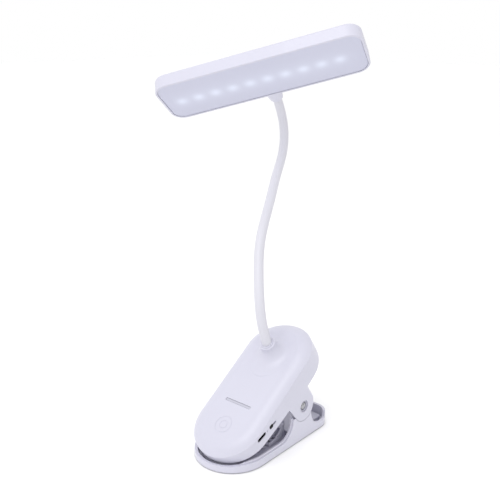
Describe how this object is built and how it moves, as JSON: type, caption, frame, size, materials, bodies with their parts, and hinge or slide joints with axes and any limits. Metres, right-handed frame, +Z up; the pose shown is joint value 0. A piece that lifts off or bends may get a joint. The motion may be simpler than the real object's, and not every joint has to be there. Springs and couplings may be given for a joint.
{
  "type": "clip-on reading lamp",
  "caption": "Clip-on reading lamp: a long flat light head on a bendable gooseneck over a sprung clip housing with a touch key, charging port and slide switch.",
  "frame": {"origin": "on the plane the lamp stands on, under the hinge axis, in the clip's symmetry plane", "axes": "+Z up from the standing plane; X along the hinge pin, +X towards the charging port; -Y towards the jaw tip"},
  "size_m": [0.1794, 0.2028, 0.3239],
  "materials": {
    "shell_white": "satin, smooth moulded",
    "shell_lower": "satin, smooth moulded",
    "sleeve_white": "silky silicone",
    "diffuser": "frosted, softly lit",
    "core_steel": "wound steel",
    "lead_grey": "matt cable jacket",
    "pin_chrome": "polished",
    "spring_steel": "drawn wire",
    "pad_grey": "matt soft grip",
    "board_green": "solder-masked",
    "cell_foil": "dull foil",
    "ballast": "zinc-dipped",
    "screw_steel": "plated",
    "copper": "bright",
    "black_plastic": "moulded",
    "clear_plastic": "translucent",
    "strip_white": "white-masked board",
    "led_phosphor": "phosphor"
  },
  "bodies": {
    "lower_arm": {"lower_arm": "shell_lower", "ballast_plate": "ballast", "lower_jaw_pad": "pad_grey", "hinge_pin": "pin_chrome", "pin_cap": "pin_chrome", "torsion_spring": "spring_steel"},
    "housing": {"upper_housing": "shell_white", "housing_cover": "shell_lower", "cover_screws": "screw_steel", "upper_jaw_pad": "pad_grey", "indicator_lens": "clear_plastic", "touch_electrode": "copper", "battery_cell": "cell_foil", "control_board": "board_green", "charging_port": "pin_chrome", "port_tongue": "black_plastic", "switch_body": "black_plastic", "status_light_pipe": "clear_plastic", "neck_nut": "core_steel", "neck_bush": "shell_white", "neck_sleeve_0": "sleeve_white", "neck_core_0": "core_steel", "neck_lead_0": "lead_grey"},
    "switch_knob": {"switch_knob": "black_plastic"},
    "neck_1": {"neck_sleeve_1": "sleeve_white", "neck_core_1": "core_steel", "neck_lead_1": "lead_grey"},
    "neck_2": {"neck_sleeve_2": "sleeve_white", "neck_core_2": "core_steel", "neck_lead_2": "lead_grey"},
    "neck_3": {"neck_sleeve_3": "sleeve_white", "neck_core_3": "core_steel", "neck_lead_3": "lead_grey"},
    "neck_4": {"neck_sleeve_4": "sleeve_white", "neck_core_4": "core_steel", "neck_lead_4": "lead_grey"},
    "neck_5": {"neck_sleeve_5": "sleeve_white", "neck_core_5": "core_steel", "neck_lead_5": "lead_grey"},
    "head": {"head_housing": "shell_white", "head_diffuser": "diffuser", "led_strip": "strip_white", "led_chips": "led_phosphor", "led_reflector": "shell_lower", "strip_screws": "screw_steel", "neck_clamp": "shell_lower", "neck_sleeve_6": "sleeve_white", "neck_core_6": "core_steel", "neck_lead_6": "lead_grey"}
  },
  "joints": [
    {"name": "clip_hinge", "type": "hinge", "parent": "lower_arm", "child": "housing", "pos_m": [0, 0, 0.0295], "axis": [-1, 0, 0], "range_deg": [0, 28], "stiffness_Nm_per_rad": 0.9, "springref_deg": -31.51, "deforming": ["torsion_spring"]},
    {"name": "switch_slide", "type": "slide", "parent": "housing", "child": "switch_knob", "axis": [0, 0.9272, 0.3746], "range_m": [0, 0.004]},
    {"name": "neck_bend_1_fore_aft", "type": "hinge", "parent": "housing", "child": "neck_1", "pos_m": [-0.0045, -0.0155, 0.1085], "axis": [0.9585, 0, 0.2851], "range_deg": [-25, 25]},
    {"name": "neck_bend_2_sideways", "type": "hinge", "parent": "neck_1", "child": "neck_2", "pos_m": [-0.018, -0.001, 0.14], "axis": [0.2433, 0.8771, -0.4141], "range_deg": [-25, 25]},
    {"name": "neck_bend_3_fore_aft", "type": "hinge", "parent": "neck_2", "child": "neck_3", "pos_m": [-0.032, 0.022, 0.165], "axis": [0.8857, 0, 0.4643], "range_deg": [-25, 25]},
    {"name": "neck_bend_4_sideways", "type": "hinge", "parent": "neck_3", "child": "neck_4", "pos_m": [-0.048, 0.054, 0.188], "axis": [0.4994, 0.6644, -0.556], "range_deg": [-25, 25]},
    {"name": "neck_bend_5_fore_aft", "type": "hinge", "parent": "neck_4", "child": "neck_5", "pos_m": [-0.066, 0.087, 0.2045], "axis": [0.5803, 0, 0.8144], "range_deg": [-25, 25]},
    {"name": "head_tilt", "type": "hinge", "parent": "neck_5", "child": "head", "pos_m": [-0.079, 0.1045, 0.2415], "axis": [0.8622, 0.4912, 0.1241], "range_deg": [-25, 25]}
  ]
}
